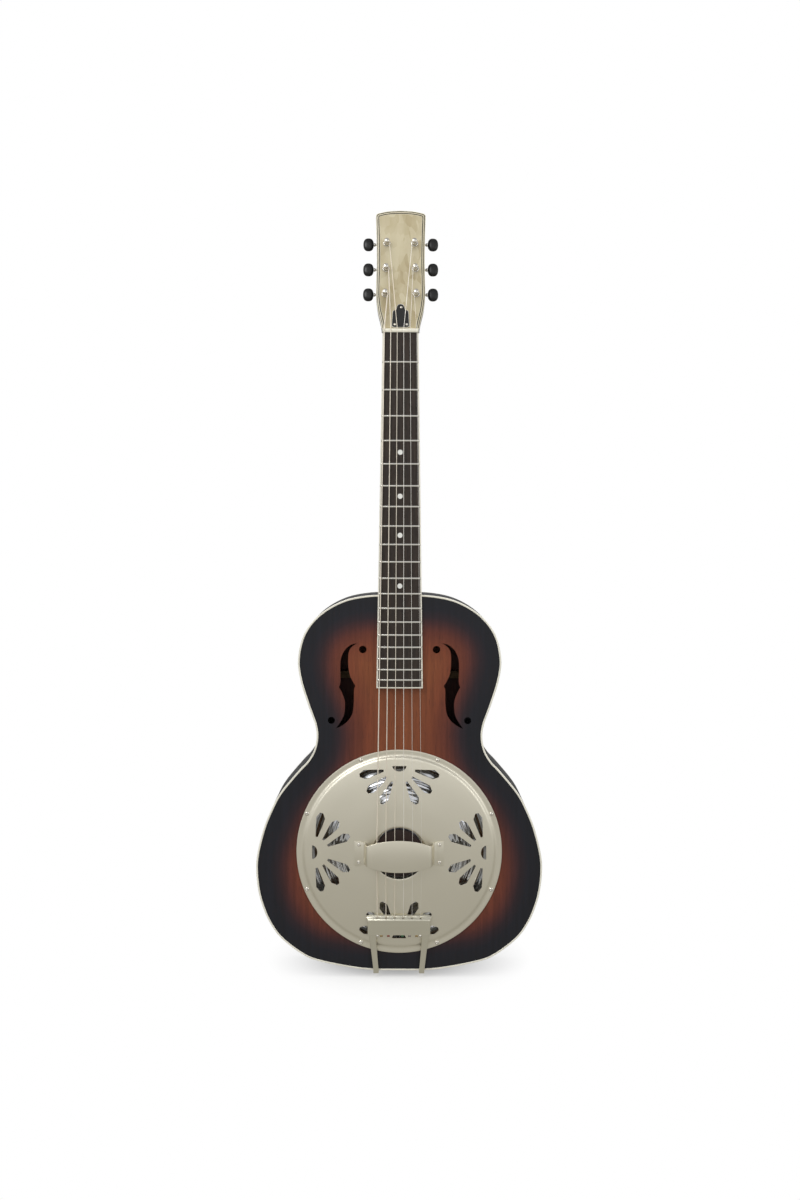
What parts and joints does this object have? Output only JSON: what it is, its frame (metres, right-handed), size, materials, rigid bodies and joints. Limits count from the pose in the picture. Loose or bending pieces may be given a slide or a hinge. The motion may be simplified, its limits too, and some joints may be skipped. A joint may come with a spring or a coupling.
{
  "type": "resonator guitar",
  "caption": "Wooden-bodied round-neck guitar with a spun metal cone under a pierced round coverplate, a hinged trapeze tailpiece and geared tuning machines.",
  "frame": {"origin": "on the back's outer face, on the centre line, straight behind the middle of the cone", "axes": "+Z along the neck towards the headstock, +Y out of the back, so the strings face -Y, +X to the treble side"},
  "size_m": [0.3512, 0.1139, 0.9407],
  "materials": {
    "top": "satin sunburst lacquer over mahogany, near black at the edge",
    "body_wood": "satin dark walnut-black lacquer",
    "binding": "aged cream plastic",
    "inner_wood": "bare, sanded",
    "fretboard": "oiled dark rosewood",
    "cover_metal": "satin warm nickel plate",
    "cone_metal": "bright spun aluminium",
    "bright_metal": "polished nickel",
    "string_metal": "wound bronze and plain steel",
    "pearl": "aged pearl plastic",
    "black_plastic": "black, polished",
    "bone": "off-white, polished"
  },
  "bodies": {
    "guitar": {"back_panel": "body_wood", "rim": "body_wood", "top_panel": "top", "top_binding": "binding", "back_binding": "binding", "top_lining": "inner_wood", "back_lining": "inner_wood", "neck_block": "inner_wood", "tail_block": "inner_wood", "soundwell": "inner_wood", "top_brace": "inner_wood", "back_brace_upper": "inner_wood", "back_brace_lower": "inner_wood", "cone": "cone_metal", "biscuit": "body_wood", "saddle": "inner_wood", "coverplate": "cover_metal", "hand_rest": "cover_metal", "tailpiece_bracket": "cover_metal", "tailpiece_pin": "bright_metal", "end_pin": "bright_metal", "neck": "body_wood", "heel_cap": "binding", "fretboard": "fretboard", "fretboard_binding": "binding", "nut": "bone", "headstock_face": "pearl", "headstock_binding": "binding", "truss_rod": "bright_metal", "truss_rod_cover": "black_plastic", "tuner_plate_bass": "bright_metal", "tuner_plate_treble": "bright_metal", "string_1": "string_metal", "string_2": "string_metal", "string_3": "string_metal", "string_4": "string_metal", "string_5": "string_metal", "string_6": "string_metal", "cover_screw_1": "bright_metal", "cover_screw_2": "bright_metal", "cover_screw_3": "bright_metal", "cover_screw_4": "bright_metal", "cover_screw_5": "bright_metal", "cover_screw_6": "bright_metal", "cover_screw_7": "bright_metal", "cover_screw_8": "bright_metal"},
    "tailpiece": {"tailpiece": "cover_metal"},
    "truss_nut": {"truss_rod_nut": "bright_metal"},
    "knob_6": {"tuner_knob_6": "black_plastic"},
    "post_6": {"string_post_6": "bright_metal"},
    "knob_5": {"tuner_knob_5": "black_plastic"},
    "post_5": {"string_post_5": "bright_metal"},
    "knob_4": {"tuner_knob_4": "black_plastic"},
    "post_4": {"string_post_4": "bright_metal"},
    "knob_1": {"tuner_knob_1": "black_plastic"},
    "post_1": {"string_post_1": "bright_metal"},
    "knob_2": {"tuner_knob_2": "black_plastic"},
    "post_2": {"string_post_2": "bright_metal"},
    "knob_3": {"tuner_knob_3": "black_plastic"},
    "post_3": {"string_post_3": "bright_metal"}
  },
  "joints": [
    {"name": "tailpiece_hinge", "type": "hinge", "parent": "guitar", "child": "tailpiece", "pos_m": [0, -0.052, -0.1523], "axis": [1, 0, 0], "range_deg": [0, 6], "stiffness_Nm_per_rad": 4, "springref_deg": -1.15},
    {"name": "truss_nut_turn", "type": "hinge", "parent": "guitar", "child": "truss_nut", "pos_m": [0, -0.0732, 0.6446], "axis": [0, 0, 1], "range_deg": [-180, 180]},
    {"name": "knob_6_turn", "type": "hinge", "parent": "guitar", "child": "knob_6", "pos_m": [-0.0188, -0.05283, 0.68144], "axis": [-1, 0, 0], "continuous": true},
    {"name": "post_6_turn", "type": "hinge", "parent": "guitar", "child": "post_6", "pos_m": [-0.0188, -0.0708, 0.67964], "axis": [0, -0.9816, 0.1908], "continuous": true},
    {"name": "knob_5_turn", "type": "hinge", "parent": "guitar", "child": "knob_5", "pos_m": [-0.0178, -0.04672, 0.71286], "axis": [-1, 0, 0], "continuous": true},
    {"name": "post_5_turn", "type": "hinge", "parent": "guitar", "child": "post_5", "pos_m": [-0.0178, -0.0647, 0.71105], "axis": [0, -0.9816, 0.1908], "continuous": true},
    {"name": "knob_4_turn", "type": "hinge", "parent": "guitar", "child": "knob_4", "pos_m": [-0.0168, -0.04056, 0.74456], "axis": [-1, 0, 0], "continuous": true},
    {"name": "post_4_turn", "type": "hinge", "parent": "guitar", "child": "post_4", "pos_m": [-0.0168, -0.05853, 0.74276], "axis": [0, -0.9816, 0.1908], "continuous": true},
    {"name": "knob_1_turn", "type": "hinge", "parent": "guitar", "child": "knob_1", "pos_m": [0.0188, -0.05283, 0.68144], "axis": [1, 0, 0], "continuous": true},
    {"name": "post_1_turn", "type": "hinge", "parent": "guitar", "child": "post_1", "pos_m": [0.0188, -0.0708, 0.67964], "axis": [0, -0.9816, 0.1908], "continuous": true},
    {"name": "knob_2_turn", "type": "hinge", "parent": "guitar", "child": "knob_2", "pos_m": [0.0178, -0.04672, 0.71286], "axis": [1, 0, 0], "continuous": true},
    {"name": "post_2_turn", "type": "hinge", "parent": "guitar", "child": "post_2", "pos_m": [0.0178, -0.0647, 0.71105], "axis": [0, -0.9816, 0.1908], "continuous": true},
    {"name": "knob_3_turn", "type": "hinge", "parent": "guitar", "child": "knob_3", "pos_m": [0.0168, -0.04056, 0.74456], "axis": [1, 0, 0], "continuous": true},
    {"name": "post_3_turn", "type": "hinge", "parent": "guitar", "child": "post_3", "pos_m": [0.0168, -0.05853, 0.74276], "axis": [0, -0.9816, 0.1908], "continuous": true}
  ],
  "couplings": [
    {"joint": "post_6_turn", "follows": "knob_6_turn", "ratio": 0.066667},
    {"joint": "post_5_turn", "follows": "knob_5_turn", "ratio": 0.066667},
    {"joint": "post_4_turn", "follows": "knob_4_turn", "ratio": 0.066667},
    {"joint": "post_1_turn", "follows": "knob_1_turn", "ratio": -0.066667},
    {"joint": "post_2_turn", "follows": "knob_2_turn", "ratio": -0.066667},
    {"joint": "post_3_turn", "follows": "knob_3_turn", "ratio": -0.066667}
  ]
}
